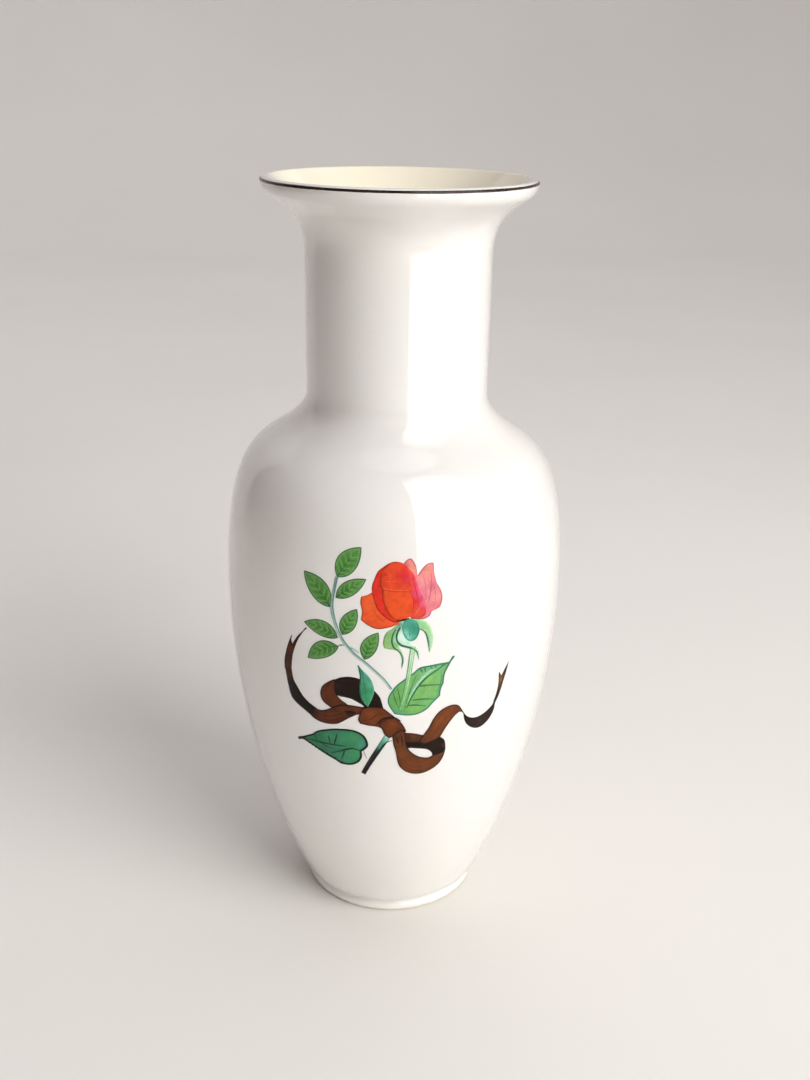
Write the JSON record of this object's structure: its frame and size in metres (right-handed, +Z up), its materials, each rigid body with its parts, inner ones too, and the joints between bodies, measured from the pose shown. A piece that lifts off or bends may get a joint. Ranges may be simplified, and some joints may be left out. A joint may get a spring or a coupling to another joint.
{
  "type": "porcelain vase",
  "caption": "Baluster-shaped white porcelain flower vase with a straight neck, wide flared mouth, low foot ring, brown lip line and a printed rose and ribbon spray on the front.",
  "frame": {"origin": "middle of the foot ring's resting plane, on the surface that the vase stands on", "axes": "+Z up along the vase's axis of revolution; the printed spray faces -Y; +X is to the right of the spray"},
  "size_m": [0.1132, 0.1139, 0.25],
  "materials": {
    "porcelain": "clear glossy glaze over white porcelain",
    "lip_brown": "dark brown overglaze line, glossy",
    "leaf_green": "printed overglaze enamel, glossy",
    "stem_blue": "printed overglaze enamel, glossy",
    "rose_red": "printed overglaze enamel, glossy",
    "rose_orange": "printed overglaze enamel, glossy",
    "rose_magenta": "printed overglaze enamel, glossy",
    "rose_pink": "printed overglaze enamel, glossy",
    "calyx_teal": "printed overglaze enamel, glossy",
    "sepal_green": "printed overglaze enamel, glossy",
    "rose_leaf_green": "printed overglaze enamel, glossy",
    "narrow_leaf_teal": "printed overglaze enamel, glossy",
    "heart_leaf_green": "printed overglaze enamel, glossy",
    "ribbon_brown": "printed overglaze enamel, glossy",
    "ribbon_dark": "printed overglaze enamel, glossy",
    "stick_dark": "printed overglaze enamel, glossy"
  },
  "bodies": {
    "root": {"foot_ring": "porcelain", "body": "porcelain", "neck": "porcelain", "mouth": "porcelain", "lip_band": "lip_brown", "leaflet_1": "leaf_green", "leaflet_2": "leaf_green", "leaflet_3": "leaf_green", "leaflet_4": "leaf_green", "leaflet_5": "leaf_green", "leaflet_6": "leaf_green", "leaflet_7": "leaf_green", "sprig_stem": "stem_blue", "sprig_twig_left": "stem_blue", "sprig_twig_right": "stem_blue", "petal_outer_left": "rose_orange", "petal_centre": "rose_orange", "petal_back_top": "rose_pink", "petal_outer_right": "rose_pink", "petal_ring": "rose_red", "petal_crown": "rose_red", "petal_middle": "rose_magenta", "calyx_cup": "calyx_teal", "sepal_left": "sepal_green", "sepal_middle": "sepal_green", "sepal_right": "sepal_green", "rose_stem": "sepal_green", "rose_leaf": "rose_leaf_green", "narrow_leaf": "narrow_leaf_teal", "heart_leaf": "heart_leaf_green", "cut_stem": "stick_dark", "ribbon_tail_left": "ribbon_brown", "ribbon_run_left": "ribbon_brown", "ribbon_loop_left": "ribbon_brown", "ribbon_knot_left": "ribbon_brown", "ribbon_knot_right": "ribbon_brown", "ribbon_loop_right": "ribbon_brown", "ribbon_loop_right_back": "ribbon_brown", "ribbon_band_right": "ribbon_brown", "ribbon_tail_right": "ribbon_brown", "ribbon_tail_left_reverse": "ribbon_dark", "ribbon_fold": "ribbon_dark", "ribbon_loop_left_reverse": "ribbon_dark", "ribbon_loop_right_reverse": "ribbon_dark", "ribbon_tail_right_reverse": "ribbon_dark"}
  },
  "joints": []
}
